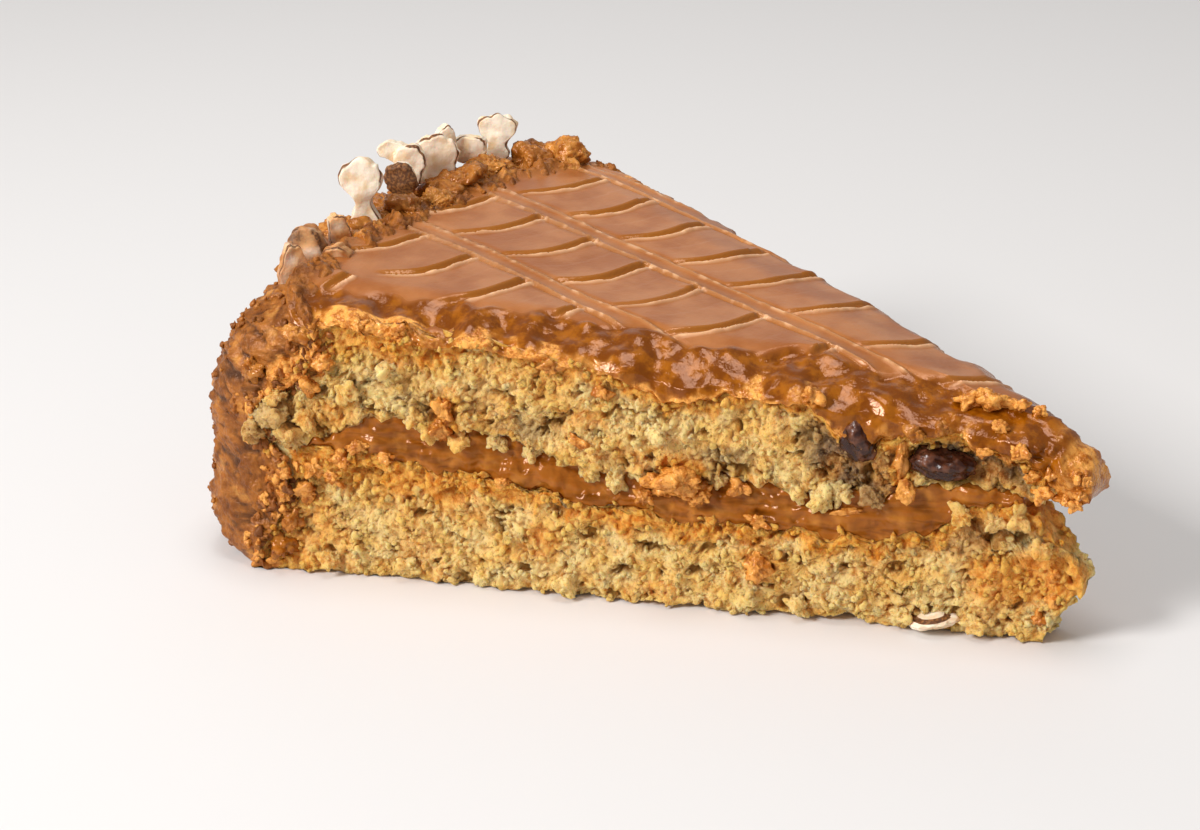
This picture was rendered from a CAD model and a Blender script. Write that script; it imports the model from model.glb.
import bisect
import math
import random

import bmesh
import bpy
from mathutils import Matrix, Vector, noise
from mathutils.bvhtree import BVHTree


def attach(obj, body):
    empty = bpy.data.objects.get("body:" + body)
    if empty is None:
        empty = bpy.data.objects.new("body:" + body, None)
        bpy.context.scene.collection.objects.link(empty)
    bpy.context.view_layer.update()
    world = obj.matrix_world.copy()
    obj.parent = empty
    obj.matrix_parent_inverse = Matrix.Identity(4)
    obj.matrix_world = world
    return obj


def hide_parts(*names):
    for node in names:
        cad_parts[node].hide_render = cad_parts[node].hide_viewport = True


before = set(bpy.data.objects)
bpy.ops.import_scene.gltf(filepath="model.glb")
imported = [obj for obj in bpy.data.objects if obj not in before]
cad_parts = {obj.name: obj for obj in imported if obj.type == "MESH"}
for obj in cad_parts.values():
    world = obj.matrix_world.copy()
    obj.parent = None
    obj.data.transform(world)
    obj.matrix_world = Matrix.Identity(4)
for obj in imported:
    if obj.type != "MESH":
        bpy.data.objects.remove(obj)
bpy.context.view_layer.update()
print("frame loaded with", len(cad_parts), "nodes")
noise.seed_set(5)  # noise vectors start from the clock without it, so each run would bend the pecans anew

# The whole slice, in millimetres: +X runs to the point, -Y is the cut that faces the camera
cakeSlice = {
    "apexX": 60.0,
    "halfAngle": math.radians(20.25),
    "spongeRadius": 114.5,
    "spongeCorner": 6.5,
    "icingCorner": 9.5,
    "shoulderStart": 109.0,
    "gap": 0.03,  # between two layers, too thin to see
    "tipWiden": 1.5,
    "tipBulge": 1.4,
    "tipFade": 6.0,
    "tornFade": 1.7,
}

# Heights over the base against the distance from the point of the slice, near cut and far cut
layerLines = {
    "top": (
        (0, 26.5), (5, 28.8), (10, 30.8), (20, 33.0), (40, 35.6), (60, 37.4), (80, 39.2), (100, 41.0),
        (121, 42.0),
    ),
    "icingNear": (
        (0, 19.8), (4, 20.2), (6, 22.0), (9, 24.5), (12, 26.5), (18, 28.0), (23, 28.4), (26, 26.5),
        (29, 26.6), (32, 26.4), (35, 28.5), (37, 31.0), (44, 31.5), (50, 31.0), (57, 30.0), (62, 33.0),
        (68, 34.3), (74, 35.4), (82, 36.4), (90, 37.0), (98, 38.0), (104, 37.0), (110, 34.8),
        (116, 34.5),
    ),
    "icingFar": (
        (0, 19.8), (4, 20.2), (6, 22.0), (10, 25.0), (20, 28.2), (32, 29.6), (45, 32.0), (58, 31.6),
        (70, 34.2), (84, 35.0), (96, 36.6), (108, 36.0), (116, 35.0),
    ),
    "fillingHighNear": (
        (0, 18.0), (6, 19.2), (10, 20.6), (15, 21.2), (20, 21.0), (24, 20.0), (28, 18.2), (32, 19.0),
        (36, 18.2), (40, 18.4), (44, 19.2), (50, 20.0), (57, 19.6), (61, 18.4), (66, 19.4), (72, 21.0),
        (78, 22.4), (84, 22.8), (88, 23.4), (92, 24.4), (97, 24.4), (101, 22.6), (104, 19.6),
        (116, 19.0),
    ),
    "fillingHighFar": (
        (0, 18.0), (8, 19.6), (18, 20.8), (30, 19.4), (44, 20.6), (56, 19.2), (70, 21.6), (86, 22.4),
        (100, 24.2), (116, 24.8),
    ),
    "fillingLowNear": (
        (0, 15.0), (6, 16.8), (9, 18.2), (13, 18.9), (16, 18.0), (19, 15.8), (22, 13.4), (26, 12.4),
        (34, 12.2), (44, 12.4), (54, 12.8), (62, 13.4), (70, 14.4), (78, 15.4), (86, 16.6), (92, 17.8),
        (98, 19.0), (104, 18.8), (116, 18.4),
    ),
    "fillingLowFar": (
        (0, 15.0), (8, 16.6), (14, 16.0), (22, 14.0), (34, 13.6), (50, 14.2), (64, 13.6), (80, 15.6),
        (98, 18.6), (116, 20.0),
    ),
}


def mix(a, b, share):
    return a + (b - a) * share


def ease(share):
    share = min(max(share, 0.0), 1.0)
    return share * share * (3 - 2 * share)


def clamp(value):
    return min(max(value, -1.0), 1.0)


# 1 in the middle, falling away smoothly to both sides
def bell(value):
    return math.exp(-(value**2))


def readLine(pairs, at):
    if at <= pairs[0][0]:
        return pairs[0][1]
    if at >= pairs[-1][0]:
        return pairs[-1][1]
    after = bisect.bisect_left(pairs, (at,))
    (x0, y0), (x1, y1) = pairs[after - 1], pairs[after]
    return y0 + (y1 - y0) * (at - x0) / (x1 - x0)


# One lump of noise is about one grain wide, in millimetres
def rough(x, y, z, grain, seed=0.0):
    return noise.noise(Vector((x / grain + seed, y / grain - seed, z / grain + 0.5 * seed)))


def craggy(x, y, z, grain, seed=0.0):
    total = rough(x, y, z, grain, seed)
    total += 0.55 * rough(x, y, z, grain * 0.45, seed + 3.1)
    return total + 0.3 * rough(x, y, z, grain * 0.22, seed + 7.7)


# Rounded lumps packed side by side, 1 on a lump and 0 in the gap between lumps
def clumps(x, y, z, grain, seed=0.0):
    near = noise.voronoi(Vector((x / grain + seed, y / grain - seed, z / grain)))[0]
    return ease((near[1] - near[0]) * 1.6)


# Soft billows with sharp creases between them, about 0 in a crease and 1 on a billow
def billows(x, y, z, grain, seed=0.0, octaves=3):
    return noise.turbulence(Vector((x / grain + seed, y / grain - seed, z / grain)), octaves, True) / 0.72


def toPolar(x, y):
    dx = cakeSlice["apexX"] - x
    return math.hypot(dx, y), math.atan2(y, dx) / cakeSlice["halfAngle"]


def fromPolar(radius, across):
    angle = across * cakeSlice["halfAngle"]
    return cakeSlice["apexX"] - radius * math.cos(angle), radius * math.sin(angle)


def behindCut(radius, across):
    return radius * math.sin(max(0.0, 1 - abs(across)) * cakeSlice["halfAngle"])


# A point on the near cut: distance from the tip along it, height, and depth behind it
def onCut(distance, height, depth=0.0):
    half = cakeSlice["halfAngle"]
    x = cakeSlice["apexX"] - distance * math.cos(half) - depth * math.sin(half)
    return Vector((x, -distance * math.sin(half) + depth * math.cos(half), height))


def pushOut(x, y, across, push):
    half = cakeSlice["halfAngle"]
    side = 1 if across > 0 else -1
    return x + push * math.sin(half), y + push * side * math.cos(half)


def bluntTip(x, y, radius, across, up):
    near = math.exp(-radius / cakeSlice["tipFade"])
    bulge = cakeSlice["tipBulge"] * (1 - 0.7 * (2 * up - 1) ** 2)
    return x + bulge * near, y + across * cakeSlice["tipWiden"] * near


def cornerRadius(full, corner, across):
    back = behindCut(full, across)
    if back >= corner:
        return full
    return full - corner + math.sqrt(max(corner**2 - (corner - back) ** 2, 0.0))


# The broken edge between two layers is as uneven as the crumb at the cut
def lineHeight(near, far, radius, across):
    share = ease((across + 1) / 2)
    height = mix(readLine(layerLines[near], radius), readLine(layerLines[far], radius), share)
    x, y = fromPolar(radius, across)
    height += 0.5 * rough(x, y, 0, 11, 2.0)
    ragged = math.exp(-behindCut(radius, across) / 3.0)
    if ragged > 0.02:
        shift = len(near)
        height += ragged * (1.3 * rough(x, y, shift, 3.4, 31.0) + 1.0 * rough(x, y, shift, 1.5, 35.0))
        height += ragged * 0.5 * rough(x, y, shift, 0.75, 37.0)
    return height


def icingLow(radius, across):
    return lineHeight("icingNear", "icingFar", radius, across)


def fillingHigh(radius, across):
    return lineHeight("fillingHighNear", "fillingHighFar", radius, across)


def fillingLow(radius, across):
    return lineHeight("fillingLowNear", "fillingLowFar", radius, across)


# How far the torn edge stands out where the icing meets the crumb
def edgePush(radius, across):
    side = 101.0 if across < 0 else 111.0
    return 0.2 + 0.8 * rough(radius, 0, side, 3.2, 5.0) + 0.45 * rough(radius, 0, side, 1.3, 9.0)


# Where the sponge ends at the near cut: height and distance from the point
spongeEdge = (
    (0, 113.5), (5, 112.5), (9, 110.4), (14, 109.0), (17.5, 109.2), (19.5, 112), (22, 113.4), (26, 112.6),
    (28, 108), (31, 105), (35, 103.4), (40, 102.4),
)


def spongeOuter(across, height):
    full = cakeSlice["spongeRadius"] + 1.5 * ease(1 - height / 12)
    outer = cornerRadius(full, cakeSlice["spongeCorner"], across)
    depth = behindCut(outer, across)
    if depth < 12:
        edge = readLine(spongeEdge, height) if across < 0 else 108 + 2 * rough(0, 0, height, 6, 29.0)
        edge += 0.9 * rough(depth * 0.3, 0, height, 1.9, 27.0 + across)
        outer += (min(edge, 113.5) - 108) * math.exp(-depth / 3.0)
    return outer


def boxGrid(along, across, up, edgeShare=1.0):
    grid = bmesh.new()
    bmesh.ops.create_cube(grid, size=1, matrix=Matrix.Translation((0.5, 0.5, 0.5)))
    for axis, count in enumerate((along, across, up)):
        edges = [e for e in grid.edges if abs((e.verts[0].co - e.verts[1].co)[axis]) > 0.5]
        bmesh.ops.subdivide_edges(grid, edges=edges, cuts=count - 1, use_grid_fill=True)
    for vert in grid.verts:  # closer together towards both cuts
        plain = 2 * vert.co.y - 1
        vert.co.y = mix(plain, math.sin(plain * math.pi / 2), edgeShare)
    return grid


# The values that the caramel and the crumb read from a mesh
caramelValues = ("groove", "wet", "stain", "crust", "pore")
crumbValues = ("stain", "pore", "grey")


def addObject(name, data):
    holder = bpy.data.objects.new(name, data)
    bpy.context.scene.collection.objects.link(holder)
    return holder


def turnBy(degrees, axis):
    return Matrix.Rotation(math.radians(degrees), 4, axis)


def finishPiece(name, source, material, node):
    for vert in source.verts:  # nothing goes below the face that the slice rests on
        vert.co.z = max(vert.co.z, 0.0)
    bmesh.ops.scale(source, vec=(0.001, 0.001, 0.001), verts=source.verts)
    bmesh.ops.recalc_face_normals(source, faces=source.faces)
    mesh = bpy.data.meshes.new(name)
    source.to_mesh(mesh)
    source.free()
    mesh.materials.append(material)
    for polygon in mesh.polygons:
        polygon.use_smooth = True
    piece = addObject(name, mesh)
    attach(piece, "root")
    if node:
        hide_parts(node)
    return piece


# Thins the faces that lie hidden between two layers, and keeps those that show
def thinHidden(source, hiddenLayer, keep=0.06):
    mesh = bpy.data.meshes.new("thinning")
    hidden = [vert[hiddenLayer] > 0 for vert in source.verts]
    shown = sum(1 for face in source.faces if not all(hidden[v.index] for v in face.verts))
    total = len(source.faces)
    source.to_mesh(mesh)
    holder = addObject("thinning", mesh)
    group = holder.vertex_groups.new(name="hidden")
    group.add([i for i, h in enumerate(hidden) if h], 1.0, "REPLACE")
    thin = holder.modifiers.new("Decimate", "DECIMATE")
    thin.vertex_group = "hidden"
    thin.ratio = (shown + keep * (total - shown)) / total
    bpy.context.view_layer.update()
    shaped = bpy.data.meshes.new_from_object(holder.evaluated_get(bpy.context.evaluated_depsgraph_get()))
    bpy.data.objects.remove(holder)
    source.free()
    thinned = bmesh.new()
    thinned.from_mesh(shaped)
    bpy.data.meshes.remove(shaped)
    return thinned


def linear(hexColour):
    channels = [int(hexColour[i : i + 2], 16) / 255 for i in (1, 3, 5)]
    return [c / 12.92 if c <= 0.04045 else ((c + 0.055) / 1.055) ** 2.4 for c in channels] + [1.0]


# Adds a node with its settings, its fixed inputs and its links, and gives back its first live output
def addNode(tree, kind, inputs=None, output=0, **settings):
    node = tree.nodes.new("ShaderNode" + kind)
    for name, value in settings.items():
        setattr(node, name, value)
    for socket, value in (inputs or {}).items():
        if isinstance(value, bpy.types.NodeSocket):
            tree.links.new(value, node.inputs[socket])
        else:
            node.inputs[socket].default_value = value
    return node.outputs[output]


# The numbers that a mesh carries for its material, one for each name
def readValues(tree, names):
    return [addNode(tree, "Attribute", output=2, attribute_name=name) for name in names]


# The noise patterns that a look lists: size in millimetres, detail, roughness
def addPatterns(tree, look):
    place = addNode(tree, "TexCoord", output=3)
    found = []
    for size, detail, roughness in look["patterns"]:
        inputs = {"Vector": place, "Scale": 1000 / size, "Detail": detail, "Roughness": roughness}
        found.append(addNode(tree, "TexNoise", inputs))
    return found


# A material with its shader's fixed values set, ready for its pattern nodes
def startMaterial(name, values):
    material = bpy.data.materials.new(name)
    material.use_nodes = True
    shader = material.node_tree.nodes["Principled BSDF"]
    for socket, value in values.items():
        shader.inputs[socket].default_value = value
    return material, material.node_tree, shader


def blendColour(tree, share, first, second):
    colours = [linear(c) if isinstance(c, str) else c for c in (first, second)]
    return addNode(tree, "Mix", {0: share, 6: colours[0], 7: colours[1]}, 2, data_type="RGBA")


def shiftRange(tree, value, fromLow, fromHigh, toLow=0.0, toHigh=1.0):
    inputs = {"Value": value, "From Min": fromLow, "From Max": fromHigh, "To Min": toLow, "To Max": toHigh}
    return addNode(tree, "MapRange", inputs, interpolation_type="SMOOTHSTEP")


# Baked butter sponge, torn by a knife: dull, open crumb with brown pores, orange where caramel soaked in
crumbLook = {
    "light": "#FFD890",
    "middle": "#FFC870",
    "shade": "#E09C46",
    "pore": "#94641E",
    "soaked": "#DC8220",
    "soakedLight": "#FFB452",
    "grey": "#9A7A58",
    "greyDark": "#4C3222",
    "roughness": 0.85,
    "patterns": ((4.5, 3.0, 0.5), (1.3, 5.0, 0.72), (0.6, 3.0, 0.75)),
}


def makeCrumb(name, look):
    material, tree, shader = startMaterial(name, {
        "Roughness": look["roughness"], "IOR": 1.45, "Specular IOR Level": 0.25,
        "Subsurface Weight": 0.5, "Subsurface Scale": 0.0022, "Subsurface Radius": (1.0, 0.7, 0.35),
    })
    stain, pore, grey = readValues(tree, crumbValues)
    cloud, grain, speck = addPatterns(tree, look)
    base = blendColour(tree, shiftRange(tree, cloud, 0.35, 0.62), look["middle"], look["light"])
    base = blendColour(tree, shiftRange(tree, grain, 0.48, 0.36, 0.0, 0.7), base, look["shade"])
    greyCrumb = blendColour(tree, shiftRange(tree, grain, 0.38, 0.56), look["greyDark"], look["grey"])
    base = blendColour(tree, grey, base, greyCrumb)
    soaked = blendColour(tree, shiftRange(tree, grain, 0.38, 0.58), look["soaked"], look["soakedLight"])
    base = blendColour(tree, stain, base, soaked)
    specks = shiftRange(tree, speck, 0.47, 0.33, 0.0, 0.62)
    deep = shiftRange(tree, pore, 0.1, 0.9, 0.0, 0.72)
    dark = addNode(tree, "Math", {0: deep, 1: specks}, operation="MAXIMUM")
    keepStain = shiftRange(tree, stain, 0.2, 1.0, 1.0, 0.4)
    dark = addNode(tree, "Math", {0: dark, 1: keepStain}, operation="MULTIPLY")
    base = blendColour(tree, dark, base, look["pore"])
    tree.links.new(base, shader.inputs["Base Color"])
    wetness = shiftRange(tree, stain, 0.3, 1.0, look["roughness"], 0.45)
    tree.links.new(wetness, shader.inputs["Roughness"])
    bump = addNode(tree, "Bump", {"Height": grain, "Distance": 0.0008, "Strength": 0.6})
    bump = addNode(tree, "Bump", {"Height": speck, "Distance": 0.0006, "Strength": 0.9, "Normal": bump})
    tree.links.new(bump, shader.inputs["Normal"])
    return material


# Cooked caramel icing: satin where the comb passed, wet and amber where it was cut, dark in its grooves
caramelLook = {
    "panel": "#9C5824",
    "panelCloud": "#B2703E",
    "groove": "#A0601C",
    "lip": "#FFCB9C",
    "wet": "#763A00",
    "wetLight": "#A05A0A",
    "amber": "#B4661A",
    "amberLight": "#FBB056",
    "rim": "#743C06",
    "rimDark": "#442002",
    "rimLight": "#A66424",
    "shine": "#FFCDB0",
    "patterns": ((7, 3.0, 0.5), (2.4, 4.0, 0.6), (0.6, 2.0, 0.5), (1.4, 4.0, 0.7)),
}


def makeIcing(name, look):
    material, tree, shader = startMaterial(name, {
        "Roughness": 0.4, "IOR": 1.47, "Specular IOR Level": 0.65, "Specular Tint": linear(look["shine"]),
        "Subsurface Weight": 0.08, "Subsurface Scale": 0.0015, "Subsurface Radius": (1.0, 0.4, 0.12),
    })
    groove, wet, stain, crust, pore, lip = readValues(tree, caramelValues + ("lip",))
    cloud, lump, fine, patchy = addPatterns(tree, look)
    base = blendColour(tree, shiftRange(tree, cloud, 0.35, 0.65), look["panel"], look["panelCloud"])
    base = blendColour(tree, groove, base, look["groove"])
    base = blendColour(tree, lip, base, look["lip"])
    wetColour = blendColour(tree, shiftRange(tree, lump, 0.42, 0.66), look["wet"], look["wetLight"])
    base = blendColour(tree, wet, base, wetColour)
    crustColour = blendColour(tree, shiftRange(tree, lump, 0.35, 0.65), look["rim"], look["rimLight"])
    crustColour = blendColour(tree, pore, crustColour, look["rimDark"])
    base = blendColour(tree, crust, base, crustColour)
    amber = blendColour(tree, shiftRange(tree, patchy, 0.38, 0.6), look["amber"], look["amberLight"])
    base = blendColour(tree, stain, base, amber)
    tree.links.new(base, shader.inputs["Base Color"])
    gloss = addNode(tree, "Math", {0: wet, 1: groove}, operation="MAXIMUM")
    gloss = shiftRange(tree, gloss, 0.0, 0.8, 0.36, 0.15)
    gloss = addNode(tree, "Mix", {0: crust, 2: gloss, 3: 0.42}, data_type="FLOAT")
    tree.links.new(gloss, shader.inputs["Roughness"])
    coarse = addNode(tree, "Math", {0: wet, 1: crust}, operation="MAXIMUM")
    coarse = shiftRange(tree, coarse, 0.0, 1.0, 0.05, 0.16)
    bump = addNode(tree, "Bump", {"Height": lump, "Distance": 0.001, "Strength": coarse})
    crusty = addNode(tree, "Math", {0: crust, 1: stain}, operation="MAXIMUM")
    crusty = shiftRange(tree, crusty, 0.0, 1.0, 0.06, 0.5)
    bump = addNode(tree, "Bump", {"Height": fine, "Distance": 0.0005, "Strength": crusty, "Normal": bump})
    tree.links.new(bump, shader.inputs["Normal"])
    return material


# Soft caramel between the layers: glossy, drawn out in level streaks by the knife
fillingLook = {
    "middle": "#9E5A18", "dark": "#7A420A", "light": "#BC782E", "shine": "#FFCDB0",
    "streakMm": 1.5, "patterns": ((3, 3.0, 0.5),), "roughness": 0.2,
}


def makeFilling(name, look):
    material, tree, shader = startMaterial(name, {
        "Roughness": look["roughness"], "IOR": 1.47, "Specular Tint": linear(look["shine"]),
        "Subsurface Weight": 0.15, "Subsurface Scale": 0.002, "Subsurface Radius": (1.0, 0.45, 0.15),
    })
    place = addNode(tree, "TexCoord", output=3)
    level = addNode(tree, "Mapping", {"Vector": place, "Scale": (0.17, 0.17, 1.0)})
    inputs = {"Vector": level, "Scale": 1000 / look["streakMm"], "Detail": 2.0, "Distortion": 0.9}
    streak = addNode(tree, "TexNoise", inputs)
    lump = addPatterns(tree, look)[0]
    base = blendColour(tree, shiftRange(tree, streak, 0.3, 0.58), look["dark"], look["middle"])
    base = blendColour(tree, shiftRange(tree, lump, 0.45, 0.75), base, look["light"])
    tree.links.new(base, shader.inputs["Base Color"])
    bump = addNode(tree, "Bump", {"Height": streak, "Distance": 0.0005, "Strength": 0.35})
    bump = addNode(tree, "Bump", {"Height": lump, "Distance": 0.0008, "Strength": 0.4, "Normal": bump})
    tree.links.new(bump, shader.inputs["Normal"])
    return material


# Chopped raw pecan: dull cream where it broke, thin brown skin along its rim
pecanLook = {
    "flesh": "#FBEBD4", "fleshWarm": "#EBCBA0", "skin": "#5E381C", "skinLight": "#936234",
    "coat": "#E6AC70", "coatDark": "#B07038",
    "patterns": ((2.5, 3.0, 0.5), (0.4, 2.0, 0.5)),
}


def makePecan(name, look):
    material, tree, shader = startMaterial(name, {
        "Roughness": 0.6, "IOR": 1.47, "Subsurface Weight": 0.15, "Subsurface Scale": 0.0015,
    })
    skin, coat = readValues(tree, ("skin", "coat"))
    cloud, fine = addPatterns(tree, look)
    flesh = blendColour(tree, shiftRange(tree, cloud, 0.42, 0.7), look["flesh"], look["fleshWarm"])
    coatColour = blendColour(tree, shiftRange(tree, cloud, 0.4, 0.62), look["coatDark"], look["coat"])
    flesh = blendColour(tree, coat, flesh, coatColour)
    skinColour = blendColour(tree, shiftRange(tree, fine, 0.4, 0.65), look["skin"], look["skinLight"])
    base = blendColour(tree, shiftRange(tree, skin, 0.35, 0.65), flesh, skinColour)
    tree.links.new(base, shader.inputs["Base Color"])
    bump = addNode(tree, "Bump", {"Height": fine, "Distance": 0.0002, "Strength": 0.35})
    bump = addNode(tree, "Bump", {"Height": cloud, "Distance": 0.0005, "Strength": 0.15, "Normal": bump})
    tree.links.new(bump, shader.inputs["Normal"])
    return material


# Moist dark fruit baked in the crumb: plum-brown skin with a soft shine
fruitLook = {"dark": "#30140C", "light": "#74452F", "roughness": 0.26, "patterns": ((1.6, 4.0, 0.5),)}


def makeFruit(name, look):
    material, tree, shader = startMaterial(name, {"Roughness": look["roughness"], "IOR": 1.45})
    cloud = addPatterns(tree, look)[0]
    base = blendColour(tree, shiftRange(tree, cloud, 0.42, 0.72), look["dark"], look["light"])
    tree.links.new(base, shader.inputs["Base Color"])
    bump = addNode(tree, "Bump", {"Height": cloud, "Distance": 0.0006, "Strength": 0.6})
    tree.links.new(bump, shader.inputs["Normal"])
    return material


crumb = makeCrumb("butterSpongeTorn", crumbLook)
caramel = makeIcing("caramelIcingCombed", caramelLook)
softCaramel = makeFilling("caramelFillingSmeared", fillingLook)
pecan = makePecan("pecanChopped", pecanLook)
fruit = makeFruit("fruitBakedMoist", fruitLook)
print("materials made")

# Patches on the near cut: distance from the tip, height, half length, half height, strength
soakedPatches = (
    (101, 17.0, 5.0, 3.6, 1.0), (106, 10, 3.0, 6.0, 0.6), (96, 18.5, 5.0, 2.4, 1.0),
    (86, 24.5, 2.2, 5.0, 1.0), (54, 18.5, 4.8, 3.6, 1.0), (43.5, 7.4, 3.0, 2.6, 0.8),
    (74, 7.5, 3.0, 2.4, 0.7), (24.4, 22.5, 1.5, 4.5, 0.95), (97, 37.8, 7.5, 2.6, 1.0),
    (106, 33, 4.0, 5.0, 0.7), (104, 24.0, 6.0, 3.0, 0.6), (10, 8.5, 6.5, 4.2, 0.9),
    (4, 9.5, 4.0, 4.0, 0.95), (16, 14.0, 6.0, 3.4, 0.3), (108, 4, 5.0, 4.0, 0.5),
    (92, 20.0, 7.0, 2.2, 0.8), (35, 20.4, 1.6, 1.2, 0.5), (67, 26.5, 2.6, 1.5, 0.6),
    (79, 31.5, 3.0, 2.0, 0.35),
)
greyPatches = (
    (27.5, 20.6, 4.4, 2.8, 1.0), (26.5, 25.0, 3.0, 3.0, 0.8), (8.0, 22.0, 3.0, 1.6, 0.7),
    (35.5, 26.0, 3.0, 3.0, 0.7), (18.5, 12.8, 4.0, 1.8, 0.6), (31.5, 23.5, 5.0, 4.5, 1.0),
    (15, 24.3, 8.0, 3.2, 1.0), (111, 23, 3.5, 4.2, 0.55), (24, 13, 3.0, 2.4, 0.6),
    (14, 14.4, 3.0, 1.6, 0.8), (48, 22, 4.5, 2.2, 0.5), (75, 24.4, 5.0, 1.8, 0.5),
    (88, 27, 4.0, 2.0, 0.3), (62, 31.0, 2.4, 1.6, 0.5), (93, 30.5, 5.0, 2.2, 0.25),
)
poreHoles = [hole + (1.0,) for hole in (  # all at full strength
    (9.6, 15.2, 1.1, 0.8), (16.4, 16.2, 1.4, 0.6), (19.6, 14.6, 1.0, 0.8), (62.0, 4.6, 1.2, 0.8),
    (79.0, 11.6, 1.2, 0.6), (67, 9.4, 1.5, 0.9), (13, 14.2, 0.9, 0.9), (47, 20.6, 2.6, 1.0),
    (40, 2.0, 0.9, 1.2), (110, 13.6, 1.1, 2.0), (109, 27.6, 1.3, 1.5), (98, 16.0, 2.4, 0.7),
    (86, 13.4, 1.8, 0.8), (58, 8.0, 1.6, 0.7), (31, 30.4, 1.2, 0.8), (29, 21.6, 0.8, 1.4),
    (71, 25.4, 1.5, 0.6), (90, 10.4, 1.8, 0.5), (52, 5.4, 1.4, 0.6), (25, 8.8, 1.3, 0.7),
)]

# Where the crumb fell away around the dark fruit
hollows = ((17.0, 24.0, 8.5, 2.6, 1.0), (33.0, 21.8, 2.6, 2.2, 0.6), (14.0, 14.8, 3.0, 1.4, 0.5))
tearDepths = {"hole": 1.3, "hollow": 2.0}


def patchShare(patches, distance, height):
    found = 0.0
    for middle, level, halfLong, halfTall, strength in patches:
        if abs(distance - middle) > 1.3 * halfLong:
            continue
        off = math.hypot((distance - middle) / halfLong, (height - level) / halfTall)
        if off < 1.3:
            found = max(found, strength * ease((1.3 - off) / 0.6))
    return found


# Torn crumb: how far a place stands out of the cut, and how deep in a pore it lies
def tornCrumb(x, y, z, seed, layer):
    bend = 0.5 * rough(x, y, z, 1.9, seed + 11)
    x, y, z = x + bend, y - bend, z + bend
    grains = 0.6 * billows(x, y, z, layer["grainMm"] * 1.5, seed)
    grains += 0.4 * clumps(x, y, z, layer["grainMm"] * 0.75, seed)
    crags = craggy(x, y, z * 1.2, layer["cragMm"], seed)
    cavity = noise.fractal(Vector((x / 2.6 + seed, y / 2.6, z / 1.9 - seed)), 0.7, 2.1, 3)
    deep = ease((cavity - layer["poreFrom"]) / 0.3)
    push = layer["crags"] * crags + layer["grainHigh"] * (grains - 0.55) - layer["poreDepth"] * deep
    pore = max(0.8 * deep, 0.65 * ease((0.37 - grains) / 0.25), 0.4 * ease((-0.35 - crags) / 0.5))
    return push, pore


spongeLayers = {
    "lower": {
        "piece": "spongeLower", "node": "sponge_lower", "grid": (430, 16, 66), "seed": 3.0,
        "tip": (
            (0, 6.2), (3, 5.2), (6, 3.4), (8, 1.6), (10.5, 1.6), (12, 3.0), (14, 5.2), (17, 7.6),
            (20, 8.4),
        ),
        "grainMm": 1.35, "grainHigh": 0.95, "crags": 0.95, "cragMm": 5.0,
        "poreFrom": 0.36, "poreDepth": 1.0,
    },
    "upper": {
        "piece": "spongeUpper", "node": "sponge_upper", "grid": (430, 16, 48), "seed": 1.0,
        "tip": ((0, 6.6), (30, 6.6)),
        "grainMm": 1.3, "grainHigh": 0.95, "crags": 1.05, "cragMm": 5.0,
        "poreFrom": 0.34, "poreDepth": 1.1,
    },
}


# The underside lies flat, with nibbled edges
def baseHeight(radius, across):
    depth = behindCut(radius, across)
    if depth > 9:
        return 0.0
    x, y = fromPolar(radius, across)
    edge = math.exp(-depth / 2.2)
    lift = 1.2 * max(0.0, craggy(x, y, 0, 8, 12.0)) + 2.0 * max(0.0, rough(x, y, 0, 3.0, 14.0) - 0.1)
    return edge * lift


def layerSpan(which, radius, across):
    half = cakeSlice["gap"] / 2
    if which == "lower":
        return baseHeight(radius, across), fillingLow(radius, across) - half
    if which == "upper":
        return fillingHigh(radius, across) + half, icingLow(radius, across) - half
    return fillingLow(radius, across) + half, fillingHigh(radius, across) - half


def crumbStain(which, distance, across, z, low, high):
    wave = rough(distance, z, across * 3, 3.0, 40.0)
    fine = rough(distance, z, across * 3, 1.1, 44.0)
    if which == "lower":
        reach = 1.5 + 2.4 * ease((distance - 78) / 10) + 2.2 * wave + 0.7 * fine
        stain = 1 - ease((high - z - reach) / 2.2)
        stain = max(stain, 0.35 * (1 - ease((z - 0.4 + wave) / 1.4)))
    else:
        reach = 0.9 + 3.2 * ease((distance - 82) / 8) * ease((112 - distance) / 6) + 1.6 * wave + 0.8 * fine
        stain = 1 - ease((high - z - reach) / 1.5)
        stain = max(stain, 0.6 * (1 - ease((z - low - 0.3 + 0.9 * wave) / 0.8)))
    atSide = ease((distance - 105.5 + 3.0 * wave) / 3) * (1 - ease((z - 17) / 3) * ease((28 - z) / 3))
    stain = max(stain, 0.85 * atSide)
    stain = max(stain, 0.42 * ease((rough(distance, z, across * 3, 6.5, 52.0) - 0.08) / 0.25))
    if across < 0:
        stain = max(stain, patchShare(soakedPatches, distance + 1.8 * wave, z + 1.4 * fine))
    else:
        stain = max(stain, ease((rough(distance, z, 9, 8, 47.0) - 0.25) / 0.15) * 0.8)
    return min(1.0, stain * (1.0 - 0.3 * max(0.0, fine)))


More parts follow.
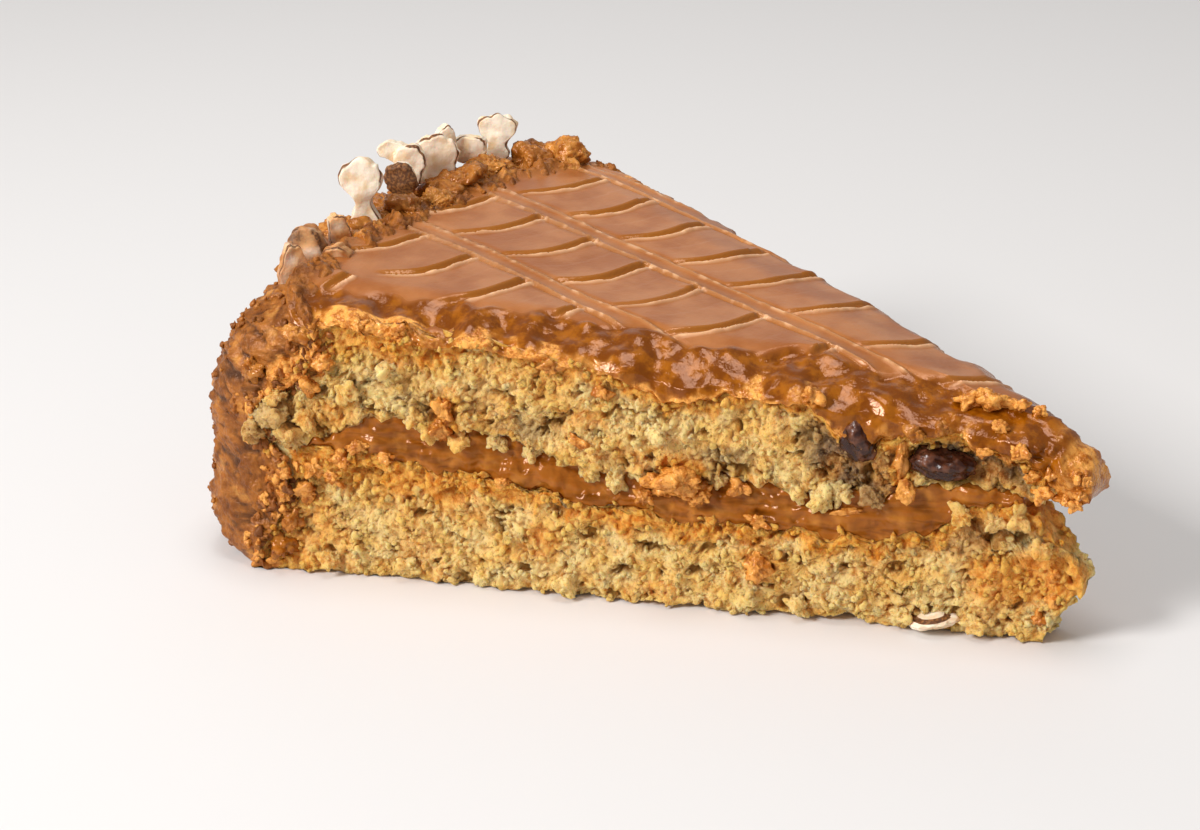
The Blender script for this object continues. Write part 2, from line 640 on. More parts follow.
def buildSponge(which):
    layer = spongeLayers[which]
    grid = boxGrid(*layer["grid"])
    stainLayer, poreLayer, greyLayer = [grid.verts.layers.float.new(name) for name in crumbValues]
    for vert in grid.verts:
        share, across, up = vert.co
        low, high = layerSpan(which, 60, across)
        height = mix(low, high, up)
        for _ in range(2):
            inner = readLine(layer["tip"], height)
            outer = spongeOuter(across, height)
            radius = mix(inner, outer, share)
            low, high = layerSpan(which, radius, across)
            height = mix(low, high, up)
        depth = behindCut(radius, across)
        fromTip = radius - inner
        cutShare = math.exp(-depth / cakeSlice["tornFade"]) * ease((outer - radius) / 0.8)
        tipShare = math.exp(-fromTip / cakeSlice["tornFade"]) * (1 - cutShare)
        x, y = fromPolar(max(radius, 1.2), across)
        if max(cutShare, tipShare) > 0.03:
            side = 0.0 if across < 0 else 20.0
            push, pore = tornCrumb(x, y, height, layer["seed"] + side, layer)
            if across < 0:
                hole = patchShare(poreHoles, radius, height)
                push -= tearDepths["hole"] * hole + tearDepths["hollow"] * patchShare(hollows, radius, height)
                pore = max(pore, 0.95 * hole)
            if which == "upper":
                push = mix(push, edgePush(radius, across), ease((up - 0.86) / 0.13))
                push -= 0.35 * ease((up - 0.93) / 0.07)
            rise = 0.35 * rough(x, y, height, 1.3, 61.0) * cutShare * min(up, 1 - up) * 4
            x, y = pushOut(x, y, across, push * cutShare)
            x += push * tipShare
            radius, across = toPolar(x, y)
            across = clamp(across)
            low, high = layerSpan(which, radius, across)
            height = mix(low, high, up) + rise
            vert[poreLayer] = pore
            vert[stainLayer] = crumbStain(which, radius, across, height, low, high)
            if across < 0:
                vert[greyLayer] = patchShare(greyPatches, radius, height + rough(x, y, height, 1.8, 49.0))
        x, y = bluntTip(x, y, radius, across, 0.5)
        vert.co = (x, y, max(height, 0.0))
    return finishPiece(layer["piece"], grid, crumb, layer["node"])


lowerSponge = buildSponge("lower")
upperSponge = buildSponge("upper")
print("sponge layers made:", len(lowerSponge.data.polygons), len(upperSponge.data.polygons))

# The caramel between the layers lies back from the cut in the middle
fillingPiece = {
    "grid": (430, 14, 30),
    "recess": (
        (0, 0.2), (22, 0.3), (34, 1.0), (44, 1.5), (60, 1.8), (74, 2.0), (84, 1.6), (92, 0.5), (116, 0.0),
    ),
    "tip": 9.2,
    "streak": 0.5,
}


def buildFilling():
    grid = boxGrid(*fillingPiece["grid"])
    for vert in grid.verts:
        share, across, up = vert.co
        outer = spongeOuter(across, 20)
        radius = mix(fillingPiece["tip"], outer, share)
        low, high = layerSpan("filling", radius, across)
        height = mix(low, high, up)
        x, y = fromPolar(radius, across)
        depth = behindCut(radius, across)
        if depth < 6:
            recess = readLine(fillingPiece["recess"], radius) * (1.0 if across < 0 else 0.5)
            side = 0.0 if across < 0 else 9.0
            push = fillingPiece["streak"] * noise.noise(Vector((radius / 13 + side, height / 1.0, 2.0)))
            push += 0.8 * rough(radius, 0, height, 4.5, 51.0 + side)
            push += 0.35 * rough(radius, 0, height, 1.6, 55.0 + side)
            push += 0.35 * ease(math.sin(math.pi * up)) - recess * (0.25 + 0.9 * ease(up))
            x, y = pushOut(x, y, across, push * math.exp(-depth / 2.2))
            radius, across = toPolar(x, y)
            low, high = layerSpan("filling", radius, clamp(across))
            height = mix(low, high, up)
        x, y = bluntTip(x, y, radius, across, 0.5)
        vert.co = (x, y, height)
    return finishPiece("fillingSmeared", grid, softCaramel, "filling")


filling = buildFilling()
print("filling made:", len(filling.data.polygons))

# Comb marks on the icing: twin long ridges, and cross marks where each panel ends in a step down
combMarks = {
    "longY": (22.5, 3.5, -14.5),
    "slope": -0.21,
    "halfGap": 1.35,
    "ridgeHigh": 0.4,
    "crossX": (-62, -50, -38, -26, -14, -2.5, 10, 24, 37),
    "lean": 0.52,
    "bow": 2.7,
    "crest": 0.5,  # how far a panel rises to its step, and how far the next one starts below
    "trough": 0.4,
    "rowApart": 18.4,  # from one pair of long ridges to the next
    "ridgeWide": 0.3,
    "channelDeep": 0.22,
    "threadHigh": 0.6,  # the fine bright thread at the foot of each step
    "threadWide": 0.3,
    "threadAt": 1.2,
}
icingPiece = {
    "grid": (384, 168, 16),
    "edge": 109.8,
    "smoothEnds": 5.5,  # how far behind the near cut the comb marks begin
    "cutDroop": 2.6,
    "cutBand": 9.0,
    "edgeRound": 1.5,
}


def combAt(x, y):
    marks = combMarks
    wander = 0.4 * rough(x, y, 0, 14, 70.0)
    offs = [y - middle - marks["slope"] * x + wander for middle in marks["longY"]]
    along = min(offs, key=abs)
    span = ((y - marks["longY"][1] - marks["slope"] * x) / marks["rowApart"]) % 1.0
    bow = marks["bow"] * math.sin(math.pi * span**0.8) ** 1.5 + 0.6 * rough(x, y, 0, 15, 74.0)
    cross = min(((x - start - marks["lean"] * y - bow) * 0.88 for start in marks["crossX"]), key=abs)
    column = round((x - marks["lean"] * y - cross) / 6)
    row = noise.noise(Vector((column, math.floor((y - marks["slope"] * x) / 18), 0.5)) * 3.7)
    strong = ease((span - 0.06) / 0.14) * (1 - ease((span - 0.88) / 0.07)) * (0.4 + 0.7 * span)
    strong *= 1 + 0.8 * row
    beads = 0.75 + 0.5 * rough(x, y, 0, 2.4, 79.0)
    step = 1 - ease((cross + 0.3) / 0.75)
    height = marks["crest"] * strong * step * math.exp(min(cross, 0.0) / 2.4)
    height -= marks["trough"] * strong * (1 - step) * math.exp(-max(cross - 0.5, 0.0) / 0.9)
    thread = bell((cross - marks["threadAt"]) / marks["threadWide"]) * min(1.0, strong * 1.6)
    wall = min(1.0, strong * 1.5) * bell((cross - 0.1) / 0.5)
    ridge = bell((abs(along) - marks["halfGap"]) / marks["ridgeWide"])
    channel = 0.5 * bell(along / 0.75) + bell((abs(along) - 1.95) / 0.34)
    height += marks["threadHigh"] * beads * thread + marks["ridgeHigh"] * beads * ridge
    height -= marks["channelDeep"] * channel
    speck = ease((rough(x, y, 0, 1.5, 78.0) - 0.1) / 0.25)
    lip = max(thread * (0.7 + 0.3 * speck), ridge * (0.2 + 0.5 * speck))
    return height, min(1.0, max(wall, 0.8 * ridge, 0.5 * channel)), min(1.0, lip)


def icingTop(radius, across):
    x, y = fromPolar(radius, across)
    depth = behindCut(radius, across)
    near = 1 - ease(depth / icingPiece["cutBand"])
    droop = icingPiece["cutDroop"] if across < 0 else 0.5 * icingPiece["cutDroop"]
    height = readLine(layerLines["top"], radius) + 0.25 * rough(x, y, 0, 14, 1.0)
    height -= droop * near * ease(radius / 25)
    height -= icingPiece["edgeRound"] * max(0.0, 1 - depth / 2.4) ** 2
    wet = 0.0
    if depth < 13:
        start = icingPiece["smoothEnds"] + 2.2 * rough(x, y, 0, 8, 81.0) + 1.2 * rough(x, y, 0, 3, 82.0)
        wet = 1 - ease((depth - start) / 1.6) if across < 0 else 0.4 * (1 - ease((depth - 0.8) / 1.0))
    wet = max(wet, 1 - ease((radius - 12 - 4 * rough(x, y, 0, 5, 83.0)) / 4))
    rim = ease((radius - 105.5 - 2.2 * rough(x, y, 0, 6, 85.0)) / 3)
    coarse = max(wet, rim)
    groove = lip = 0.0
    if coarse < 1:
        marks, groove, lip = combAt(x, y)
        height += marks * (1 - coarse)
        groove *= 1 - coarse
        lip *= 1 - coarse
    if coarse > 0:
        height += coarse * (1.1 * rough(x, y, 0, 5.2, 4.0) + 0.45 * rough(x, y, 0, 2.2, 88.0))
        height += rim * (0.4 + 0.8 * rough(x, y, 0, 3.4, 9.0) + 0.3 * rough(x, y, 0, 1.2, 6.0))
    return height, wet, rim, groove, lip


def buildIcing():
    grid = boxGrid(*icingPiece["grid"], edgeShare=0.35)
    layers = {name: grid.verts.layers.float.new(name) for name in caramelValues + ("lip",)}
    hidden = grid.verts.layers.float.new("hidden")
    for vert in grid.verts:
        share, across, up = vert.co
        edge = cornerRadius(icingPiece["edge"], 5.5, across)
        radius = mix(1.0, edge, share)
        low = icingLow(radius, across) + cakeSlice["gap"] / 2
        x, y = fromPolar(radius, across)
        depth = behindCut(radius, across)
        if up == 0 and depth > 1.5:
            vert[hidden] = 1.0
            x, y = bluntTip(x, y, radius, across, 0)
            vert.co = (x, y, low)
            continue
        high, wet, rim, groove, lip = icingTop(radius, across)
        height = mix(low, high, up)
        onFace = math.exp(-depth / 2.0)
        thin = 1 - ease(up / 0.3)  # the lower edge thins out over the crumb
        if up < 1 or depth < 5:
            side = 6.0 if across < 0 else 26.0
            smear = 0.85 + 1.4 * rough(x, y, height, 5.6, side) + 0.7 * rough(x, y, height, 2.4, side + 5)
            smear += 0.12 * rough(x, y, height, 1.1, side + 3)
            smear += 0.9 * (1 - ease((radius - 6) / 10)) * (billows(x, y, height, 2.2, side + 12) - 0.45)
            coarseEnd = ease((radius - 86) / 5) * ease((109 - radius) / 4)
            smear += 0.9 * coarseEnd * (billows(x, y, height, 1.7, side + 15) - 0.45)
            smear = mix(smear, edgePush(radius, across), thin)
            x, y = pushOut(x, y, across, smear * onFace)
            pushed, turned = toPolar(x, y)
            low = icingLow(pushed, clamp(turned)) + cakeSlice["gap"] / 2
            height = mix(low, high, up)
            height += 0.3 * onFace * rough(x, y, height, 3.4, side + 8) * min(up, 1 - up) * 4
        wave = rough(radius, height, 0, 3.0, 91.0) + 0.5 * rough(radius, height, 0, 1.2, 92.0)
        orange = 0.0
        if depth < 2.5:
            orange = 1 - ease((height - low - 0.3 - 2.6 * wave) / 1.3)
            orange *= 0.45 + 0.55 * ease((rough(radius, height, 0, 6.0, 94.0) + 0.15) / 0.25)
            deepOrange = ease((radius - 88) / 5) * ease((107 - radius) / 4)
            orange = max(orange, deepOrange * (1 - ease((height - low - 2.4 - 3.0 * wave) / 1.8)))
        tipAmber = 0.7 * (1 - ease((radius - 2 - 6 * wave) / 5))
        vert[layers["groove"]] = groove
        vert[layers["lip"]] = lip
        vert[layers["wet"]] = max(wet, onFace if up < 1 else 0.0)
        vert[layers["stain"]] = min(1.0, max(orange, tipAmber * (0.6 + 0.8 * wave)))
        vert[layers["crust"]] = rim * (1 - onFace)
        x, y = bluntTip(x, y, radius, across, up)
        vert.co = (x, y, height)
    grid = thinHidden(grid, hidden)
    return finishPiece("icingTop", grid, caramel, "icing")


icing = buildIcing()
print("icing top made:", len(icing.data.polygons))

# The outer side: icing crusted with crumb and chopped nut, from the rim over the shoulder to the foot
sidePiece = {
    "grid": (170, 230, 20),
    "rimInner": 103.5,
    "rimShare": 0.15,
    "wall": (
        (0, 121.6), (2, 124.4), (5, 125.2), (15, 124.2), (25, 123.6), (30, 122.0), (34, 119.0),
        (37, 116.0), (39, 113.6), (42, 109.0),
    ),
    "bark": 1.05,
}


def sideOutside(share, across):
    start = cornerRadius(cakeSlice["shoulderStart"], 0.6 * cakeSlice["icingCorner"], across)
    if share < sidePiece["rimShare"]:
        part = share / sidePiece["rimShare"]
        radius = mix(sidePiece["rimInner"], start, part)
        return radius, icingTop(radius, across)[0] + mix(-1.6, 0.2, ease(2 * part))
    down = (share - sidePiece["rimShare"]) / (1 - sidePiece["rimShare"])
    height = (icingTop(start, across)[0] + 0.2) * (1 - down)
    wall = cornerRadius(readLine(sidePiece["wall"], height), cakeSlice["icingCorner"], across)
    return mix(start, wall, ease(down / 0.12)), height


def sideInside(share, across):
    clear = spongeOuter(across, 30) + cakeSlice["gap"]
    if share < sidePiece["rimShare"]:
        part = share / sidePiece["rimShare"]
        return mix(sidePiece["rimInner"], clear, part), mix(38.0, 36.0, part)
    down = (share - sidePiece["rimShare"]) / (1 - sidePiece["rimShare"])
    height = 36.0 * (1 - down)
    return spongeOuter(across, height) + cakeSlice["gap"], height


# Bark: ridges that slant down the side, and rough grains between them
def barkAt(x, y, z, seed):
    turn = x * 0.5 + y * 0.9
    turn += 0.8 * rough(x, y, z, 3.0, seed + 7)
    flakes = noise.turbulence(Vector((turn / 2.1 + z / 9, z / 11 - turn / 18, seed)), 3, True) / 0.72
    grains = 0.6 * billows(x, y, z, 2.2, seed + 4) + 0.4 * clumps(x, y, z, 1.4, seed + 9)
    push = 1.5 * (flakes - 0.5) + 0.7 * (grains - 0.5) + 0.7 * rough(x, y, z, 6.0, seed + 2)
    pore = max(ease((0.34 - flakes) / 0.25), 0.8 * ease((0.3 - grains) / 0.22))
    return push, pore


def buildSide():
    grid = boxGrid(*sidePiece["grid"], edgeShare=0.5)
    layers = {name: grid.verts.layers.float.new(name) for name in caramelValues}
    hidden = grid.verts.layers.float.new("hidden")
    for vert in grid.verts:
        share, across, up = vert.co
        lowRadius, lowZ = sideInside(share, across)
        depth = behindCut(lowRadius, across)
        if up == 0 and depth > 2:
            vert[hidden] = 1.0
            x, y = fromPolar(lowRadius, across)
            vert.co = (x, y, lowZ)
            continue
        highRadius, highZ = sideOutside(share, across)
        radius = mix(lowRadius, highRadius, up)
        height = mix(lowZ, highZ, up)
        x, y = fromPolar(radius, across)
        push, pore = barkAt(x, y, height, 5.0)
        onFace = math.exp(-depth / 2.2)
        outward = up * ease((share - 0.1) / 0.12) * ease(height / 2)
        outRadius = radius + sidePiece["bark"] * push * outward
        x, y = fromPolar(outRadius, across)
        height += 0.8 * push * up * (1 - ease((share - 0.1) / 0.15))
        smear = 0.7 + 1.0 * push
        x, y = pushOut(x, y, across, smear * onFace * (1 - up * ease((share - 0.2) / 0.2) * 0.7))
        wave = rough(x, y, height, 4.0, 95.0) + 0.4 * rough(x, y, height, 1.4, 96.0)
        orange = ease((height - 25) / 4) * ease((39 - height) / 3)
        orange *= 1 - ease((up - 0.55 - 0.5 * wave) / 0.3)
        orange = max(orange, 0.9 * ease((wave - 0.1) / 0.25) * (1 - up))
        vert[layers["crust"]] = 1.0
        vert[layers["pore"]] = pore
        vert[layers["stain"]] = max(orange * onFace, 0.45 * ease((wave - 0.25) / 0.3))
        vert.co = (x, y, max(height, 0.0))
    grid = thinHidden(grid, hidden)
    return finishPiece("icingSide", grid, caramel, "icing")


side = buildSide()
print("icing side made:", len(side.data.polygons))

# Chopped pecans along the rim: angle in degrees, radius, foot height, (length, head, waist, foot widths),
# thickness, turn of the flat side, lean, pitch, share of skin, caramel coat
pecanPieces = (
    (12.8, 117.0, 40.8, (7.8, 7.2, 3.0, 4.4), 2.4, 36, 2, -6, 0.0, 0.0),
    (10.2, 116.8, 42.4, (4.4, 5.8, 5.8, 5.2), 2.6, 30, -6, 6, 0.0, 0.0),
    (5.8, 116.2, 40.4, (8.4, 7.0, 6.8, 6.4), 3.2, 40, 10, -4, 0.0, 0.1),
    (8.0, 118.2, 42.6, (6.2, 2.8, 3.0, 3.4), 2.2, 62, 6, 0, 0.0, 0.1),
    (3.9, 115.8, 46.6, (5.6, 3.0, 3.2, 3.2), 2.4, 36, -76, 0, 0.0, 0.0),
    (-4.0, 112.4, 39.2, (11.4, 7.4, 2.6, 5.6), 3.0, 36, -2, -4, 0.0, 0.0),
    (1.6, 113.6, 42.0, (5.4, 4.6, 4.6, 4.0), 2.4, 20, -10, 10, 0.75, 0.0),
    (3.2, 116.4, 42.0, (6.6, 5.2, 4.8, 4.6), 2.6, 30, 8, 0, 0.0, 0.15),
    (-10.2, 113.4, 37.6, (6.6, 5.0, 5.6, 5.4), 4.2, 24, -14, -6, 0.5, 1.3),
    (-7.6, 111.8, 38.4, (6.4, 3.0, 3.4, 3.6), 2.8, 50, -6, 0, 0.1, 1.2),
    (-13.6, 113.0, 36.2, (7.4, 3.2, 4.2, 4.6), 2.8, 58, 6, -8, 0.05, 1.2),
    (-11.6, 109.4, 36.8, (6.4, 4.6, 5.2, 4.6), 3.0, 30, 24, 4, 0.1, 1.3),
)


def buildPecan(index, row):
    angle, radius, foot, widths, thickness, turn, lean, pitch, skinShare, coat = row
    length, head, waist, footWide = widths
    seed = index + 1.0
    chip = boxGrid(30, 30, 10, edgeShare=0.0)
    skinLayer = chip.verts.layers.float.new("skin")
    coatLayer = chip.verts.layers.float.new("coat")
    for vert in chip.verts:
        across, up, deep = vert.co.x * 2 - 1, vert.co.y, vert.co.z * 2 - 1
        flatX = across * math.sqrt(1 - 0.5 * up**2)
        flatZ = up * math.sqrt(1 - 0.5 * across**2)
        tall = (flatZ + 1) / 2
        middle = mix(footWide, head, ease(tall))
        width = middle - (0.5 * (footWide + head) - waist) * bell((tall - 0.42) / 0.18)
        width *= 1 + 0.3 * flatZ**2
        inward = 1 - 0.1 * abs(deep) ** 4
        jag = noise.noise(Vector((math.atan2(flatX, flatZ) * 2.2, seed * 3.1, 0.4 * deep)))
        jag += 0.6 * noise.noise(Vector((math.atan2(flatX, flatZ) * 5.0, seed * 1.3, 0.6 * deep)))
        inward *= 1 + 0.13 * jag * max(abs(flatX), abs(flatZ))
        rise = length * (0.5 + 0.5 * flatZ * inward)
        place = Vector((0.5 * width * flatX * inward, 0.5 * thickness * deep, rise))
        place.y *= 1 - 0.1 * (flatX**2 + flatZ**2)
        wobble = noise.noise_vector(place * 0.3 + Vector((seed * 2.3, seed, -seed)))
        fine = noise.noise_vector(place * 0.9 + Vector((seed, 5.0, seed)))
        vert.co = place + wobble * 0.45 + fine * 0.12
        onRim = max(abs(across), abs(up)) > 0.97
        patchy = 0.75 + 1.0 * noise.noise(place * 0.45 + Vector((seed, 0, 3.0)))
        crease = ease((0.06 - abs(noise.noise(place * 0.3 + Vector((seed, seed, 0))))) / 0.06) * 0.3
        back = skinShare * (0.75 + patchy * 0.4) * (1.0 if deep < 0.3 else 0.45)
        outline = patchy if onRim and -0.85 < deep < -0.5 else 0.0
        vert[skinLayer] = max(outline, back, crease)
        vert[coatLayer] = min(1.0, coat * (0.8 + 0.7 * noise.noise(place * 0.5 + Vector((0, seed, 7.0)))))
    x, y = fromPolar(radius, math.radians(angle) / cakeSlice["halfAngle"])
    matrix = Matrix.Translation((x, y, foot)) @ turnBy(turn, "Z") @ turnBy(lean, "Y") @ turnBy(pitch, "X")
    bmesh.ops.transform(chip, matrix=matrix, verts=chip.verts)
    number = f"{index + 1:02d}"
    return finishPiece("pecanChip" + number, chip, pecan, "pecan_" + number)


chips = [buildPecan(index, row) for index, row in enumerate(pecanPieces)]
print("pecans made:", len(chips))

# Pieces set in the crumb: name, node, distance from the tip, height, depth, size, turn, material, slot
insetPieces = (
    ("fruitLarge", "fruit_in_crumb_1", 19.5, 23.6, 1.2, (8.6, 4.6, 4.2), 8, fruit, "dark_fruit"),
    ("fruitSmall", "fruit_in_crumb_2", 30.4, 26.4, 0.6, (5.8, 4.4, 4.6), 60, fruit, "dark_fruit"),
    ("pecanInCrumb", "pecan_in_crumb", 20.3, 1.5, 0.0, (6.6, 5.0, 1.9), -10, pecan, "pecan_kernel"),
)


def buildInset(name, node, distance, height, depth, size, turn, material, slot):
    lump = bmesh.new()
    bmesh.ops.create_icosphere(lump, subdivisions=5, radius=0.5)
    skinLayer = lump.verts.layers.float.new("skin")
    for vert in lump.verts:
        bump = 1 + 0.22 * noise.noise(vert.co * 2.6 + Vector((distance, 0, 0)))
        bump += 0.1 * noise.noise(vert.co * 9)
        vert[skinLayer] = ease((vert.co.z - 0.2) / 0.08) * (1 - ease((vert.co.z - 0.38) / 0.06))
        vert.co = Vector(a * b * bump for a, b in zip(vert.co, size))
    spin = Matrix.Rotation(cakeSlice["halfAngle"], 4, "Z") @ turnBy(turn, "Y")
    matrix = Matrix.Translation(onCut(distance, height, depth)) @ spin
    bmesh.ops.transform(lump, matrix=matrix, verts=lump.verts)
    return finishPiece(name, lump, material, node)


insets = [buildInset(*row) for row in insetPieces]
print("pieces in the crumb made:", len(insets))

# Clods of icing that hold the pecans on the rim: angle in degrees, radius, height, size
rimClods = (
    (17.0, 110.8, 41.2, 7.0), (15.0, 113.4, 41.0, 6.6), (15.6, 115.0, 41.6, 4.4),
    (10.2, 112.4, 41.8, 5.6), (7.4, 111.2, 41.8, 6.0), (4.6, 110.0, 41.2, 4.6), (1.8, 108.6, 41.2, 6.0),
    (-0.6, 110.4, 41.2, 6.4), (-2.6, 112.4, 40.6, 5.6), (-7.6, 109.4, 40.0, 4.8),
    (-9.8, 117.0, 37.6, 3.8), (-16.4, 111.6, 37.8, 3.2), (-17.4, 114.2, 35.4, 2.8),
    (13.2, 117.6, 39.2, 5.4), (4.0, 118.4, 38.6, 6.4), (-3.6, 117.8, 38.2, 6.2),
    (8.2, 117.8, 39.6, 6.4), (0.6, 116.4, 40.0, 5.6), (-7.4, 114.8, 38.4, 4.6),
    (11.6, 115.6, 40.6, 5.2), (-13.0, 114.6, 36.4, 3.8), (16.6, 116.6, 38.4, 5.2),
    (5.4, 113.6, 41.4, 5.2), (-5.2, 111.8, 40.2, 5.0),
)


# Rough lumps, kept in small batches because one long mesh is slow to add to
class LumpHeap:
    batchVerts = 1500

    def __init__(self, valueNames):
        self.names = valueNames
        self.batches = []
        self.startBatch()

    def startBatch(self):
        self.batch = bmesh.new()
        self.layers = [self.batch.verts.layers.float.new(name) for name in self.names]
        self.batches.append(self.batch)

    def add(self, matrix, size, seed, detail, values, craggyShare=0.5):
        if len(self.batch.verts) > self.batchVerts:
            self.startBatch()
        made = bmesh.ops.create_icosphere(self.batch, subdivisions=detail, radius=0.5)["verts"]
        shift = Vector((seed * 1.7, seed, -seed * 0.6))
        depthShare = craggyShare * min(1.0, 2.8 / max(size))
        for vert in made:
            place = Vector(a * b for a, b in zip(vert.co, size))
            shape = 1 + 0.7 * noise.noise(vert.co * 2.0 + shift)
            shape += depthShare * (noise.turbulence(place * 1.05 + shift, 3, True) / 0.72 - 0.5)
            vert.co = matrix @ (place * shape)
            for layer, name in zip(self.layers, self.names):
                vert[layer] = values.get(name, 0.0)

    def joined(self):
        whole = bmesh.new()
        for batch in self.batches:
            mesh = bpy.data.meshes.new("batch")
            batch.to_mesh(mesh)
            batch.free()
            whole.from_mesh(mesh)
            bpy.data.meshes.remove(mesh)
        return whole


def buildClods():
    heap = LumpHeap(caramelValues)
    for index, (angle, radius, height, size) in enumerate(rimClods):
        x, y = fromPolar(radius, math.radians(angle) / cakeSlice["halfAngle"])
        turn = Matrix.Translation((x, y, height)) @ Matrix.Rotation(index * 1.3, 4, "Z")
        values = {"crust": 0.3, "wet": 0.8, "stain": 0.5 if index % 3 == 0 else 0.2}
        heap.add(turn, (size * 1.2, size, size * 0.75), index + 1, 5 if size > 5.5 else 4, values, 0.6)
    return finishPiece("rimClods", heap.joined(), caramel, None)


clods = buildClods()
print("clods on the rim made:", len(clods.data.polygons))

# The first thing that a line into the near cut meets, so that lumps and crumbs sit on what shows
evaluated = bpy.context.evaluated_depsgraph_get()
surfaces = [
    BVHTree.FromObject(piece, evaluated)
    for piece in (lowerSponge, upperSponge, filling, icing, side)
]


def meetSurface(start, direction):
    found = None
    for order, tree in enumerate(surfaces):
        place, normal, _, away = tree.ray_cast(start * 0.001, direction)
        if place is not None and (found is None or away < found[3]):
            found = (place * 1000, normal, order, away)
    return found


def onSurface(distance, height, out):
    half = cakeSlice["halfAngle"]
    inward = Vector((-math.sin(half), math.cos(half), 0))
    found = meetSurface(onCut(distance, height, -15), inward)
    if found:
        return found[0] - inward * out
    above = onCut(distance, 70, 4.0)  # over the edge of the top, so it lies on that
    return meetSurface(above, Vector((0, 0, -1)))[0] + Vector((0, 0, out))


# Amber lumps and drips on the near cut: distance, height, stand out,
# size along, tall and deep, turn, amber share
amberLumps = (
    (54.0, 19.2, 1.3, 5.6, 3.6, 4.0, 10, 0.9), (56.8, 17.6, 1.2, 3.4, 3.4, 3.0, 40, 0.8),
    (51.2, 16.8, 1.0, 3.0, 2.2, 2.6, -20, 0.9), (58.8, 16.0, 0.8, 2.4, 2.2, 2.0, 0, 0.5),
    (43.4, 13.6, 0.4, 2.6, 1.7, 1.4, 25, 0.8), (43.4, 7.4, 0.6, 2.8, 3.0, 1.8, 0, 0.9),
    (86.2, 26.6, 0.5, 2.2, 3.2, 2.0, 12, 0.9), (86.8, 23.4, 0.6, 3.0, 2.8, 2.2, 30, 0.8),
    (24.8, 23.8, 0.6, 1.5, 4.8, 1.6, 6, 0.6), (24.0, 20.2, 0.5, 2.2, 2.2, 1.6, 0, 0.9),
    (14.0, 34.6, 1.1, 5.2, 2.8, 3.0, 12, 1.0), (16.8, 33.6, 0.6, 2.6, 1.8, 2.0, -10, 0.9),
    (10.4, 32.2, 0.5, 2.0, 1.6, 1.6, 0, 1.0), (7.8, 30.6, 0.5, 1.8, 1.4, 1.4, 20, 1.0),
    (36.2, 32.2, 0.8, 2.4, 2.4, 1.8, 0, 0.7), (9.6, 27.4, 0.5, 2.0, 2.0, 1.6, 0, 1.0),
    (22.6, 28.8, 0.6, 2.2, 2.0, 1.8, 30, 0.3), (6.6, 21.6, 0.4, 2.2, 1.8, 1.8, 0, 1.0),
    (3.6, 21.2, 0.3, 1.8, 1.6, 1.6, 0, 1.0), (1.6, 22.8, 0.2, 1.8, 1.6, 1.8, 0, 0.8),
    (2.6, 25.0, 0.3, 1.6, 1.4, 1.4, 0, 0.9), (46.0, 18.0, 0.5, 2.4, 2.2, 1.8, 0, 0.7),
    (67.4, 23.4, 0.6, 4.0, 1.2, 1.2, 28, 0.8), (78.6, 16.2, 0.5, 2.2, 1.4, 1.4, 0, 0.8),
    (31.2, 16.2, 0.3, 3.4, 0.9, 1.0, -8, 0.6), (103.0, 32.4, 0.6, 2.8, 2.4, 2.0, 0, 0.9),
    (106.4, 36.2, 0.5, 3.0, 2.4, 2.0, 0, 0.5), (105.2, 28.4, 0.5, 2.4, 2.6, 2.0, 0, 0.8),
    (105.6, 16.4, 0.5, 2.4, 2.2, 2.0, 0, 0.8), (107.0, 12.6, 0.5, 2.4, 2.6, 2.0, 0, 0.6),
    (109.8, 8.0, 0.4, 2.6, 3.0, 2.2, 0, 0.4), (111.4, 3.6, 0.4, 3.2, 2.6, 2.4, 0, 0.2),
    (113.6, 30.4, 0.4, 2.8, 3.2, 2.4, 0, 0.3), (101.6, 17.6, 0.4, 2.6, 2.2, 1.6, -30, 0.9),
    (103.0, 15.0, 0.4, 2.4, 2.0, 1.6, 30, 0.9), (2.2, 21.0, 0.2, 1.6, 1.4, 1.4, 0, 0.9),
    (4.6, 20.6, 0.4, 1.5, 1.2, 1.3, 0, 1.0), (8.2, 23.4, 0.4, 1.8, 1.3, 1.3, 0, 1.0),
    (11.2, 25.0, 0.4, 1.7, 1.4, 1.4, 0, 0.9), (5.6, 24.4, 0.3, 1.4, 1.2, 1.2, 0, 0.8),
    (1.0, 24.4, 0.2, 1.4, 1.4, 1.4, 0, 0.6), (14.4, 26.6, 0.4, 1.6, 1.4, 1.4, 0, 0.8),
    (19.4, 29.4, 0.4, 1.8, 1.5, 1.4, 0, 0.3), (12.2, 29.6, 0.4, 2.2, 1.6, 1.4, 20, 0.8),
    (5.0, 6.4, 0.3, 1.6, 1.4, 1.4, 0, 0.9), (6.4, 3.6, 0.3, 1.8, 1.5, 1.4, 0, 0.8),
    (4.4, 9.6, 0.3, 1.5, 1.6, 1.4, 0, 0.9), (99.0, 20.0, 0.4, 3.0, 1.8, 1.6, -14, 0.7),
    (95.0, 18.6, 0.4, 2.4, 1.6, 1.4, -10, 0.8), (92.0, 37.4, 0.5, 2.4, 1.6, 1.6, 0, 0.9),
    (97.6, 38.0, 0.5, 2.8, 1.6, 1.6, 0, 0.9), (64.0, 30.6, 0.5, 2.2, 1.6, 1.6, 0, 0.7),
    (71.0, 33.6, 0.5, 2.4, 1.8, 1.6, 0, 0.6),
)

# Broken lumps along the seam between the sponge and the side at each cut
seamLumps = {"count": 200, "sizes": (0.8, 1.9), "seed": 41}


